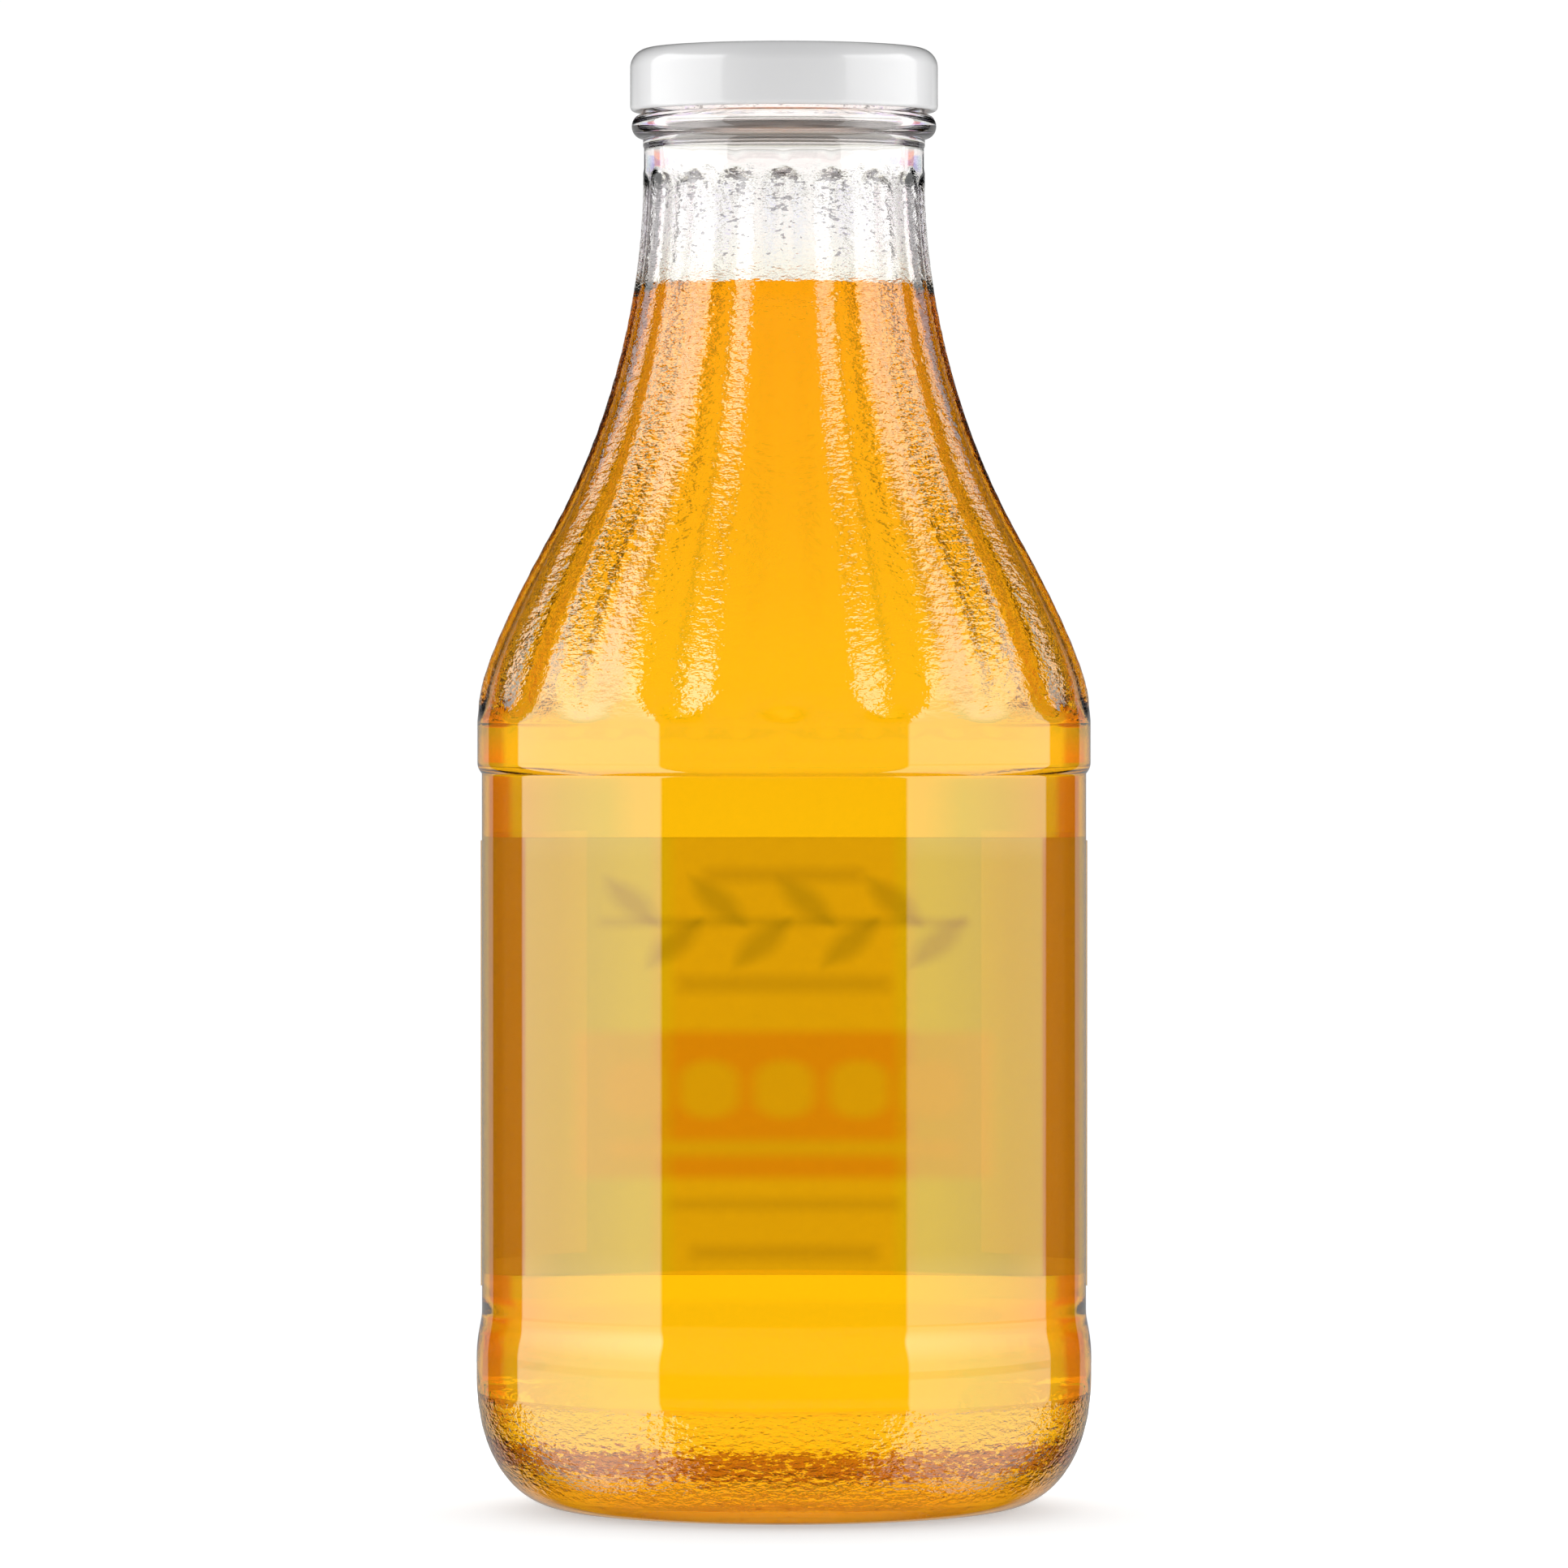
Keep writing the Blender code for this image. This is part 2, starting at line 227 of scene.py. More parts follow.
def bottle_finish():
    """The lip, the transfer ring, and the small step in to the neck."""
    below_step = NECK_STEP - NECK_STEP_HEIGHT
    return joined(
        arc((FINISH_RADIUS - LIP, MOUTH - LIP), (LIP, LIP), 90, 0, count=4),
        arc((FINISH_RADIUS, TRANSFER_RING), RING_RADII, 90, -90, count=14),
        [(FINISH_RADIUS, NECK_STEP + NECK_STEP_EDGE), (FINISH_RADIUS - NECK_STEP_TAPER, NECK_STEP)],
        [(NECK_RADIUS, below_step), (NECK_RADIUS, below_step - BESIDE), (NECK_RADIUS, NECK_FOOT)],
    )


print("rows of the finish:", len(bottle_finish()))

# %% Band, panel, heel and base
BAND_FOOT = 118.0 * MM
PANEL_RADIUS = 47.85 * MM
PANEL_TOP = 116.3 * MM
STEP_IN_START = 0.8 * MM
STEP_IN_END = (0.3 * MM, 0.35 * MM)
PANEL_FOOT = 31.4 * MM
STEP_OUT_START = 2.0 * MM
STEP_OUT_END = 3.6 * MM
STEP_OUT_HEIGHT = 7.6 * MM
HEEL_TOP = 21.4 * MM
HEEL_WIDTH = 15.4 * MM
HEEL_POWER = 2.25
HEEL_STEP = 0.9 * MM
FOOT_RING = 3.0 * MM
BASE_RISE = (3.0 * MM, 1.6 * MM)
BASE_FLAT = 14.0 * MM
PUSH_UP = 2.4 * MM


def body():
    """The band, a curve in to the panel, a curve out to the heel, the heel and the base."""
    step_in = bezier(
        (BAND_RADIUS, BAND_FOOT),
        (BAND_RADIUS, BAND_FOOT - STEP_IN_START),
        (PANEL_RADIUS + STEP_IN_END[0], PANEL_TOP + STEP_IN_END[1]),
        (PANEL_RADIUS, PANEL_TOP),
        count=10,
    )
    step_out = bezier(
        (PANEL_RADIUS, PANEL_FOOT),
        (PANEL_RADIUS, PANEL_FOOT - STEP_OUT_START),
        (HEEL_RADIUS, PANEL_FOOT - STEP_OUT_END),
        (HEEL_RADIUS, PANEL_FOOT - STEP_OUT_HEIGHT),
        count=12,
    )
    heel = superellipse((HEEL_RADIUS, HEEL_TOP), HEEL_WIDTH, HEEL_TOP, HEEL_POWER, count=120)
    foot = HEEL_RADIUS - HEEL_WIDTH - FOOT_RING
    rise = (foot - BASE_RISE[0], BASE_RISE[1])
    base = bezier((foot, 0.0), rise, (foot - BASE_FLAT, PUSH_UP), (0.0, PUSH_UP), count=10)
    return joined(
        [(BAND_RADIUS, BAND_TOP - BESIDE), (BAND_RADIUS, BAND_FOOT + BESIDE)],
        step_in,
        [(PANEL_RADIUS, PANEL_TOP - BESIDE), (PANEL_RADIUS, PANEL_FOOT + BESIDE)],
        step_out,
        evenly(heel, HEEL_STEP),
        base,
    )


outer_outline = joined(bottle_finish(), shoulder(SHOULDER_STEP), body())
print("rows outside:", len(outer_outline))

# %% [markdown]
# The inside is smooth. It follows the shoulder at the thickness of the wall, square to it, runs
# straight down the body and rounds in to a domed bottom. The juice is turned from the same line, so
# one function gives both: moved out by a hair it is the skin of the juice.

# %% The inner outline
BORE_RADIUS = 18.9 * MM
BORE_FOOT = SHOULDER_TOP + 2.0 * MM
SHOULDER_WALL = 3.4 * MM
BODY_WALL = 2.45 * MM
INNER_HEEL = (13.0 * MM, 16.4 * MM)
INNER_HEEL_POWER = 2.2
INNER_HEEL_STEP = 1.8 * MM
INNER_BOTTOM = 3.8 * MM
INNER_CROWN = 5.6 * MM
CROWN_START = 6.0 * MM
CROWN_END = 14.0 * MM
INNER_STEP = 3.4 * MM


def inset(outline, distance):
    """Each point moved square to the line's own direction, which is the difference of its neighbours."""
    along = np.gradient(outline, axis=0)
    along /= np.linalg.norm(along, axis=1, keepdims=True)
    return outline + distance * np.stack([along[:, 1], -along[:, 0]], 1)


def inside(offset=0.0):
    """From the bore down to the middle of the bottom, moved towards the axis by offset."""
    wall = inset(shoulder(INNER_STEP), SHOULDER_WALL + offset)
    radius = PANEL_RADIUS - BODY_WALL - offset
    width, depth = (size - offset for size in INNER_HEEL)
    heel = superellipse((radius, INNER_BOTTOM + INNER_HEEL[1]), width, depth, INNER_HEEL_POWER, count=60)
    crown = INNER_CROWN + offset
    bottom = bezier(heel[-1], heel[-1] - [CROWN_START, 0.0], (CROWN_END, crown), (0.0, crown), count=6)
    bore = [(BORE_RADIUS - offset, BORE_FOOT)]
    straight = [(radius, PANEL_TOP), (radius, PANEL_TOP - 2 * BESIDE), (radius, heel[0, 1] + 2 * BESIDE)]
    return joined(bore, wall[1:], straight, evenly(heel, INNER_HEEL_STEP), bottom)


inner_outline = inside()
inner_lip = arc((BORE_RADIUS + LIP, MOUTH - LIP), (LIP, LIP), 180, 90, count=4)
glass_outline = joined(inner_outline[::-1], inner_lip, outer_outline)
FIRST_OUTER_ROW = len(inner_outline) + len(inner_lip)
print("rows in all:", len(glass_outline), "of them inside:", len(inner_outline))

# %% [markdown]
# Eighteen flutes run down the shoulder. Round the bottle they are a row of scallops with rounded
# ridges between them, which is the square of a sine. Along the shoulder they begin in a round scoop
# under the neck, are a little shallower there, and run out above the band.

# %% The flutes
FLUTES = 18
FLUTE_TOP = 211.6 * MM
FLUTE_FOOT = 124.4 * MM
FLUTE_DEPTH = 1.0 * MM
NECK_FLUTE_DEPTH = 0.76 * MM
SHALLOWER_FROM = 150.0 * MM
SHALLOWER_OVER = 30.0 * MM
SCOOP = 2.0 * MM
FADE = 4.4 * MM


def smoothstep(x):
    """0 below 0, 1 above 1, and 3x^2 - 2x^3 between."""
    x = np.clip(x, 0.0, 1.0)
    return x * x * (3.0 - 2.0 * x)


def flute_depth(height, angle):
    """Depth x the square of sin(9 angle) x its start below the neck and its end above the band."""
    wave = np.abs(np.sin(FLUTES / 2 * angle))
    begins = smoothstep((FLUTE_TOP - SCOOP * (1.0 - wave) - height) / SCOOP)
    ends = smoothstep((height - FLUTE_FOOT - FADE / 2 * (1.0 - wave)) / FADE)
    in_neck = smoothstep((height - SHALLOWER_FROM) / SHALLOWER_OVER)
    depth = FLUTE_DEPTH + (NECK_FLUTE_DEPTH - FLUTE_DEPTH) * in_neck
    return depth * wave**2 * begins * ends


for level in (206.0, 170.0, 135.0):
    deepest = flute_depth(level * MM, math.pi / FLUTES)
    print(f"flutes at a height of {level} mm are {deepest / MM:.2f} mm deep")

# %% [markdown]
# Shoulder and heel are stippled: the mould there is peened, which hides scuffs from the bottling
# line. The coarse part of the stipple is real relief. It is a sum of many waves of random direction
# and length, each a cosine of a whole number of turns round the bottle, so the pattern closes on
# itself. The draws come from a seeded generator and are the same on every run. The relief only goes
# inwards, so the bottle keeps its size.

# %% The stipple
STIPPLE_DEPTH = 0.09 * MM
STIPPLE_WAVES = 90
STIPPLE_SPREAD = 2.8
STIPPLE_MOST = 1.2
TURNS_ROUND = (28, 112)
WAVE_HEIGHT_MM = (1.7, 4.5)
HEEL_STIPPLE = 18.6 * MM
FOOT_STIPPLE = 2.5 * MM
STIPPLE_EDGE = 3.0 * MM
NECK_STIPPLE_EDGE = 2.0 * MM
HEEL_STIPPLE_EDGE = 1.2 * MM
draws = np.random.default_rng(18)
turns_round = draws.integers(*TURNS_ROUND, STIPPLE_WAVES)
turns_up = math.tau / (draws.uniform(*WAVE_HEIGHT_MM, STIPPLE_WAVES) * MM)
turns_up = turns_up * draws.choice([-1, 1], STIPPLE_WAVES)
wave_start = draws.uniform(0, math.tau, STIPPLE_WAVES)


def stippled(height):
    """Where the mould is peened: 1 on flutes and heel, 0 on neck, band, panel and foot."""
    below_neck = smoothstep((FLUTE_TOP - height) / NECK_STIPPLE_EDGE)
    above_band = smoothstep((height - BAND_TOP) / STIPPLE_EDGE)
    below_panel = smoothstep((HEEL_STIPPLE - height) / HEEL_STIPPLE_EDGE)
    above_foot = smoothstep((height - FOOT_STIPPLE) / STIPPLE_EDGE)
    return above_band * below_neck + below_panel * above_foot


def stipple(height, angle):
    """The sum of cos(n angle + m height + start), scaled to run mostly between 0 and 1."""
    total = np.zeros(np.broadcast_shapes(height.shape, angle.shape))
    for turns, rise, start in zip(turns_round, turns_up, wave_start):
        total += np.cos(turns * angle + rise * height + start)
    return np.clip(0.5 + total / math.sqrt(STIPPLE_WAVES) / STIPPLE_SPREAD, 0.0, STIPPLE_MOST)


def glass_relief(radius, height, angle):
    """The outer wall alone moves: in by the depth of the flutes, and again by the stipple."""
    line = shoulder(SHOULDER_STEP)[::-1]
    ridge = np.interp(height, line[:, 1], line[:, 0])
    outer = np.arange(len(radius))[:, None] >= FIRST_OUTER_ROW
    on_shoulder = (height > FLUTE_FOOT) & (height < FLUTE_TOP) & (radius > ridge - SHOULDER_WALL / 2)
    carved = radius - np.where(outer & on_shoulder, flute_depth(height, angle), 0.0)
    return carved - np.where(outer, STIPPLE_DEPTH * stippled(height) * stipple(height, angle), 0.0)


print("waves in the stipple:", STIPPLE_WAVES, "the first turns", turns_round[0], "times round")

# %% [markdown]
# The glass is one closed wall. The juice reaches 0.15 mm into it, because a film of air between
# them would shine like silver. Its surface climbs a little where it meets the glass, as a liquid
# that wets its jar does, and its rings crowd towards the wall, where that bend is.

# %% Turn the glass and the juice
GLASS_COLUMNS = 18 * FLUTES
JUICE_COLUMNS = 10 * FLUTES
REACH = 0.15 * MM
CLIMB = 0.3 * MM
MENISCUS = 0.35 * MM
MENISCUS_WIDTH = 1.1 * MM
SURFACE_RINGS = 24
CROWDING = 1.6
glass = turned("clear_wall", glass_outline, GLASS_COLUMNS, glass_relief)

skin = inside(-REACH)
rim = JUICE_LEVEL + CLIMB
wall_radius = np.interp(rim, skin[::-1, 1], skin[::-1, 0])
out = wall_radius * (1 - np.linspace(1.0, 0.0, SURFACE_RINGS) ** CROWDING)
surface = np.stack([out, rim - MENISCUS * (1 - np.exp((out - wall_radius) / MENISCUS_WIDTH))], 1)
juice = turned("amber_fill", joined(surface, skin[skin[:, 1] < rim]), JUICE_COLUMNS)

# %% [markdown]
# The cap is pressed from thin steel: a flat top with a shallow recess and a safety button, a round
# shoulder, a straight skirt, and a rim curled inwards. A cylinder with a bevel would do for the
# outside. This one is turned from an outline with the wall of the steel in it, so the recess, the
# curl and the inside are there as well.

# %% Turn the cap
SHEET = 0.5 * MM
CORNER = 3.1 * MM
CURL = (0.7 * MM, 0.8 * MM)
BUTTON_TOP = TOP - 0.15 * MM
RECESS_FLOOR = TOP - 0.45 * MM
BUTTON_EDGE = (10.2 * MM, 10.9 * MM, 11.6 * MM)
RECESS_EDGE = (18.4 * MM, 19.1 * MM, 19.9 * MM)
CAP_COLUMNS = 192


def slope(radii, start, end):
    """An S from one level to the next: a cubic curve with both handles at the middle radius."""
    inner, middle, outer = radii
    return bezier((inner, start), (middle, start), (middle, end), (outer, end), count=6)


corner_at = (CAP_RADIUS - CORNER, TOP - CORNER)
cap_outline = joined(
    [(0.0, BUTTON_TOP)],
    slope(BUTTON_EDGE, BUTTON_TOP, RECESS_FLOOR),
    slope(RECESS_EDGE, RECESS_FLOOR, TOP),
    arc(corner_at, (CORNER, CORNER), 90, 0, count=16),
    arc((CAP_RADIUS - CURL[0], CAP_RIM + CURL[1]), CURL, 0, -180, count=12),
    [(CAP_RADIUS - SHEET, CAP_RIM + 3 * CURL[1])],
    arc(corner_at, (CORNER - SHEET, CORNER - SHEET), 0, 90, count=8),
    [(0.0, RECESS_FLOOR - SHEET)],
)
cap = turned("twist_cap", cap_outline, CAP_COLUMNS)

# %% [markdown]
# The label is a strip of paper wrapped round a little less than half of the panel. Faces of the
# panel with a Solidify modifier could stand for it. Here it is a thin closed sheet of its own: the
# four edges of a narrow upright rectangle, carried round an arc and closed at both ends. So it can
# have a UV map that is the flat paper in millimetres, with zero in the middle of its foot, and the
# print is drawn as it would be on the flat sheet.

# %% Wrap the label
PAPER = 0.12 * MM
HALF_WRAP = math.radians(86)
LABEL_INNER = PANEL_RADIUS + 0.3 * MM
LABEL_COLUMNS = 160
SHARP = math.radians(40)


def wrapped(name, radii, heights, half_wrap, columns):
    """Corners (inner, foot), (inner, top), (outer, top), (outer, foot) carried from -half to +half."""
    inner, outer = radii
    foot, top = heights
    angle = np.linspace(-half_wrap, half_wrap, columns + 1)[:, None]
    radius = np.array([inner, inner, outer, outer])[None, :]
    height = np.broadcast_to([foot, top, top, foot], (columns + 1, 4))
    points = np.stack([-radius * np.sin(angle), radius * np.cos(angle), height], 2).reshape(-1, 3)
    ids = np.arange((columns + 1) * 4).reshape(-1, 4)
    turn = np.roll(ids, -1, axis=1)
    quads = np.stack([ids[:-1], turn[:-1], turn[1:], ids[1:]], 2).reshape(-1, 4).tolist()
    ends = [ids[0][::-1].tolist(), ids[-1].tolist()]
    piece = meshed(name, points, quads + ends)
    flat = np.stack([np.repeat(angle * inner, 4, 1), height - foot], 2).reshape(-1, 2) / MM
    corners = np.empty(len(piece.data.loops), int)
    piece.data.loops.foreach_get("vertex_index", corners)
    layer = piece.data.uv_layers.new(name="flat_paper")
    layer.uv.foreach_set("vector", flat[corners].ravel())
    piece.data.set_sharp_from_angle(angle=SHARP)
    return piece


label_radii = (LABEL_INNER, LABEL_INNER + PAPER)
label = wrapped("paper_label", label_radii, (LABEL_FOOT, LABEL_TOP), HALF_WRAP, LABEL_COLUMNS)

# %% [markdown]
# Finishes are node trees. A small class stands for a socket and takes part in sums like a number,
# so a mask can be written as a formula. Any other node comes from one method, which is given the
# node's type, its settings and what goes into its sockets.


# %% Write shader maths as formulas
class Wire:
    """A socket that adds, subtracts, multiplies and divides by adding Math nodes."""

    def __init__(self, tree, socket):
        self.tree = tree
        self.socket = socket

    def math(self, operation, *others, clamp=False):
        """A Math node of that operation, fed with this socket and the others."""
        inputs = dict(enumerate((self, *others)))
        settings = {"operation": operation, "use_clamp": clamp}
        return self.tree.add("ShaderNodeMath", settings, inputs)

    def __add__(self, other):
        return self.math("ADD", other)

    def __sub__(self, other):
        return self.math("SUBTRACT", other)

    def __rsub__(self, other):
        return (self * -1.0) + other

    def __mul__(self, other):
        return self.math("MULTIPLY", other)

    def __truediv__(self, other):
        return self.math("DIVIDE", other)

    def __pow__(self, other):
        return self.math("POWER", other)

    def __abs__(self):
        return self.math("ABSOLUTE")

    __radd__ = __add__
    __rmul__ = __mul__

    def at_least(self, other):
        return self.math("MAXIMUM", other)

    def at_most(self, other):
        return self.math("MINIMUM", other)

    def clamped(self):
        """The same value, kept between 0 and 1."""
        return self.math("ADD", 0.0, clamp=True)

    def ramp(self, start, end):
        """0 at start, 1 at end, straight between and flat beyond."""
        return ((self - start) / (end - start)).clamped()

    def window(self, low, high, soft):
        """1 between low and high, with edges of width soft."""
        return self.ramp(low - soft / 2, low + soft / 2) * (1 - self.ramp(high - soft / 2, high + soft / 2))


# %% Add any other node
class Tree:
    """A node tree being wired."""

    def __init__(self, tree):
        self.nodes = tree.nodes
        self.links = tree.links

    def add(self, kind, settings=(), inputs=(), output=0):
        """A node of that type: its settings first, then a value or a Wire for each named input."""
        node = self.nodes.new(kind)
        for name, value in dict(settings).items():
            setattr(node, name, value)
        self.feed(node, inputs)
        return Wire(self, node.outputs[output])

    def feed(self, node, inputs):
        """Link each Wire to its input, and write each plain value into its own."""
        for name, value in dict(inputs).items():
            if isinstance(value, Wire):
                self.links.new(value.socket, node.inputs[name])
            else:
                node.inputs[name].default_value = value

    def parts(self, vector):
        """The x, y and z of a vector."""
        split = self.add("ShaderNodeSeparateXYZ", inputs={0: vector})
        return [Wire(self, socket) for socket in split.socket.node.outputs]

    def mixed(self, share, first, second):
        """Two colours mixed: first where share is 0, second where it is 1."""
        settings = {"data_type": "RGBA"}
        return self.add("ShaderNodeMix", settings, {0: share, 6: rgba(first), 7: rgba(second)}, 2)

    def place(self):
        """The point's own place on its object."""
        return self.add("ShaderNodeTexCoord", output="Object")

    def scaled(self, place, scale):
        """A place whose pattern is squeezed by scale along each axis."""
        return self.add("ShaderNodeMapping", {"vector_type": "POINT"}, {0: place, "Scale": scale})

    def noise(self, place, scale, detail, roughness=0.5):
        """Cloudy noise round one half. scale is the number of clouds in a metre."""
        inputs = {"Vector": place, "Scale": scale, "Detail": detail, "Roughness": roughness}
        return self.add("ShaderNodeTexNoise", {}, inputs)

    def bump(self, height, distance, strength):
        """A bent normal, as if the surface rose by distance where height is 1."""
        inputs = {"Strength": strength, "Distance": distance, "Height": height}
        return self.add("ShaderNodeBump", {}, inputs)


def rgba(colour):
    """A Wire as it is, or three numbers with an alpha of 1."""
    return colour if isinstance(colour, Wire) else (*colour, 1.0)


def finish(name):
    """A new material: its wired tree and its Principled shader."""
    material = bpy.data.materials.new(name)
    material.use_nodes = True
    tree = Tree(material.node_tree)
    return material, tree, material.node_tree.nodes["Principled BSDF"]


# %% [markdown]
# Clear glass hardly colours what is behind it. It is a little yellow in the neck, where juice has
# run down and left a film, and a little green in the thick glass of the foot. What it shows is its
# surface. The fine part of the stipple is too small for the mesh, so it is a Bump node fed with
# noise, held to the peened places by their height. The noise is squashed, because the flecks on
# real stippled glass are wider than tall.

# %% Zones of the glass
NEAR_SIDE = (8.0 * MM, -8.0 * MM)
DRY_NECK = (193.5 * MM, 196.0 * MM)
FILM = (190.0 * MM, 199.0 * MM, 8.0 * MM)
THICK_FOOT = (3.6 * MM, 1.6 * MM)
CLEAR = (0.965, 0.96, 0.945)
FILM_TINT = (0.97, 0.965, 0.90)
FOOT_TINT = (0.66, 0.76, 0.72)


def clear_colour(tree):
    """Nearly white, mixed with the film's tint in the neck and with the foot's in the last 4 mm."""
    height = tree.parts(tree.place())[2]
    clear = tree.mixed(height.window(*FILM), CLEAR, FILM_TINT)
    return tree.mixed(height.ramp(*THICK_FOOT), clear, FOOT_TINT)


print("the neck is dry from a height of", round(DRY_NECK[1] / MM, 1), "mm")

# %% [markdown]
# On the real bottle the stipple shows dark flecks in the empty neck and brown ones round the heel,
# where a dent bends the view past the lit backdrop, so they are shade. Bump alone leaves them faint,
# so they are also drawn in the glass's colour as painted shade: noise plus a bias for the place, and
# a fleck is where the sum is past a limit. The bias grows up the neck and is largest in the round
# mouths of the flutes, which show the most shade. Round the heel the flecks lie on the near side
# only, the side the camera faces, because seen through the juice those of the far side would be out
# of place. A noise is given by its clouds in a metre, its levels of detail and how strong the small
# levels are.

# %% Painted shade: flecks in the glass's colour
SQUASHED = (1.0, 1.0, 2.2)
SQUASHED_WIDE = (0.8, 0.8, 2.2)
NECK_NOISE = (900.0, 1.0)
HEEL_NOISE = (850.0, 3.0, 0.65)
FLECK_LIMIT = 0.90
# Colours of the painted shade: dark grey flecks in the neck, brown ones round the heel
NECK_PAINTED_SHADE = (0.26, 0.25, 0.27)
HEEL_PAINTED_SHADE = (0.32, 0.12, 0.22)
NECK_FLECK_EDGE = 0.03
HEEL_FLECK_EDGE = 0.06
FLUTE_MOUTHS = (209.0 * MM, 211.4 * MM, 0.8 * MM)
MOUTH_WIDTH = (0.35, 0.75)
FLECKS_END = (210.5 * MM, 211.5 * MM)
FLECKS_GROW = (194.0 * MM, 210.0 * MM)
HEEL_FLECKS = (18.0 * MM, 14.0 * MM)
HEEL_DENSE = (13.6 * MM, 11.0 * MM)
HEEL_SPARSE = (6.0 * MM, 8.6 * MM)


def neck_shade_bias(x, y, height):
    """Dry neck x (0.22 + 0.14 up the neck) x (0.7 + 0.3 sin^2 of 9 angle), and 0.12 in the mouths."""
    wave = (y.math("ARCTAN2", x) * (FLUTES / 2)).math("SINE")
    scallop = wave * wave
    thick = height.ramp(*FLECKS_GROW) * 0.14 + 0.22
    spread = (0.7 + scallop * 0.3) * (1 - height.ramp(*FLECKS_END))
    mouths = scallop.ramp(*MOUTH_WIDTH) * height.window(*FLUTE_MOUTHS)
    return height.ramp(*DRY_NECK) * thick * spread + mouths * 0.12


def heel_shade_bias(y, height):
    """0.25 from the top of the heel down and 0.26 more lower down, halved again at the foot."""
    dense = height.ramp(*HEEL_FLECKS) * 0.25 + height.ramp(*HEEL_DENSE) * 0.26
    return dense * (0.5 + height.ramp(*HEEL_SPARSE) * 0.5) * y.ramp(*NEAR_SIDE)


def shade_flecked(tree, clear):
    """The clear colour with flecks of painted shade in it, in the neck and round the heel."""
    place = tree.place()
    x, y, height = tree.parts(place)
    small = tree.noise(tree.scaled(place, SQUASHED), *NECK_NOISE)
    wide = tree.noise(tree.scaled(place, SQUASHED_WIDE), *HEEL_NOISE)
    # Where noise and bias pass the limit, the glass is darkened with painted shade
    in_neck = (small + neck_shade_bias(x, y, height) - FLECK_LIMIT).ramp(0.0, NECK_FLECK_EDGE)
    heel_shade = (wide + heel_shade_bias(y, height) - FLECK_LIMIT).ramp(0.0, HEEL_FLECK_EDGE)
    return tree.mixed(heel_shade, tree.mixed(in_neck, clear, NECK_PAINTED_SHADE), HEEL_PAINTED_SHADE)


print("a cloud of the neck's noise is", round(1 / NECK_NOISE[0] / MM, 2), "mm wide")

# %% The fine stipple
SHOULDER_PEENED = (BAND_TOP, 128.0 * MM)
NECK_PLAIN = (210.0 * MM, 212.0 * MM)
HEEL_PLAIN = (17.6 * MM, HEEL_STIPPLE)
FOOT_PLAIN = (FOOT_STIPPLE, 5.0 * MM)
ROUGHER_NECK = (140.0 * MM, 175.0 * MM)
COARSE_NOISE = (560.0, 2.0)
FINE_NOISE = (1500.0, 1.0)
FINE_SHARE = 0.3
STIPPLE_BUMP = 0.17 * MM


def peened_strength(y, height):
    """1 on the shoulder and 1.7 in the neck; on the heel 1.4 on the near side and 0.25 on the far."""
    shoulder_part = height.ramp(*SHOULDER_PEENED) * (1 - height.ramp(*NECK_PLAIN))
    heel_part = (1 - height.ramp(*HEEL_PLAIN)) * height.ramp(*FOOT_PLAIN)
    rough_neck = 1.0 + height.ramp(*ROUGHER_NECK) * 0.7
    calm_heel = 0.25 + y.ramp(*NEAR_SIDE) * 1.15
    return shoulder_part * rough_neck + heel_part * calm_heel


def fine_stipple(tree):
    """Two sizes of noise; the coarse one is weaker in the dry neck, where the painted shade flecks are
    drawn.
    """
    place = tree.place()
    x, y, height = tree.parts(place)
    squashed = tree.scaled(place, SQUASHED)
    coarse = tree.noise(squashed, *COARSE_NOISE) * (1 - height.ramp(*DRY_NECK) * 0.6)
    fine = tree.noise(squashed, *FINE_NOISE) * FINE_SHARE
    return tree.bump((coarse + fine) * peened_strength(y, height), STIPPLE_BUMP, 1.0)


print("the bump's full depth is", round(STIPPLE_BUMP / MM, 2), "mm")

# %% [markdown]
# The glass has three finishes. Specular Tint scales its mirror part, and 1 is plain glass. The
# outside has more, so that the boxes of light lie on it as pale and even as they do on the real
# bottle. The wall that the juice wets has none, because glass against juice mirrors next to
# nothing. The dry wall above the juice is plain.

# %% The glass
GLASS_IOR = 1.5
OUTER_SHINE = 4.0


def glass_finish(name, shine, peened=False):
    """Clear glass with its mirror part scaled by shine, with painted shade flecks and bump where it is
    peened.
    """
    material, tree, shader = finish(name)
    colour = clear_colour(tree)
    if peened:
        colour = shade_flecked(tree, colour)
        tree.feed(shader, {"Normal": fine_stipple(tree)})
    tree.feed(shader, {
        "Base Color": colour,
        "Roughness": 0.0,
        "IOR": GLASS_IOR,
        "Transmission Weight": 1.0,
        "Specular Tint": (shine, shine, shine, 1.0),
    })
    glass.data.materials.append(material)
    print(name, "has", len(material.node_tree.nodes), "nodes")


glass_finish("glass_outside", OUTER_SHINE, peened=True)
glass_finish("glass_inside", 1.0)
glass_finish("glass_wetted", 0.0)

# %% [markdown]
# The faces of a turned piece come in the order of its outline, one strip round the bottle for each
# two neighbouring rings, and the two fans at the poles last. So the finishes are given out by
# counting strips: wetted from the middle of the bottom up to the juice's level, dry up to the lip,
# and the outside after that. A pole has no ring, and a strip needs two, hence the small numbers.

# %% Give each strip of the glass its finish
OUTSIDE, INSIDE, WETTED = range(3)
inner_strips = len(inner_outline) - 2
wet_strips = int(np.sum(inner_outline[:, 1] < JUICE_LEVEL)) - 2
strip_slots = np.full(len(glass_outline) - 3, OUTSIDE)
strip_slots[:inner_strips] = INSIDE
strip_slots[:wet_strips] = WETTED
face_slots = np.repeat([*strip_slots, WETTED, OUTSIDE], GLASS_COLUMNS)
print("faces:", len(glass.data.polygons), "slots:", len(face_slots))
glass.data.polygons.foreach_set("material_index", face_slots)

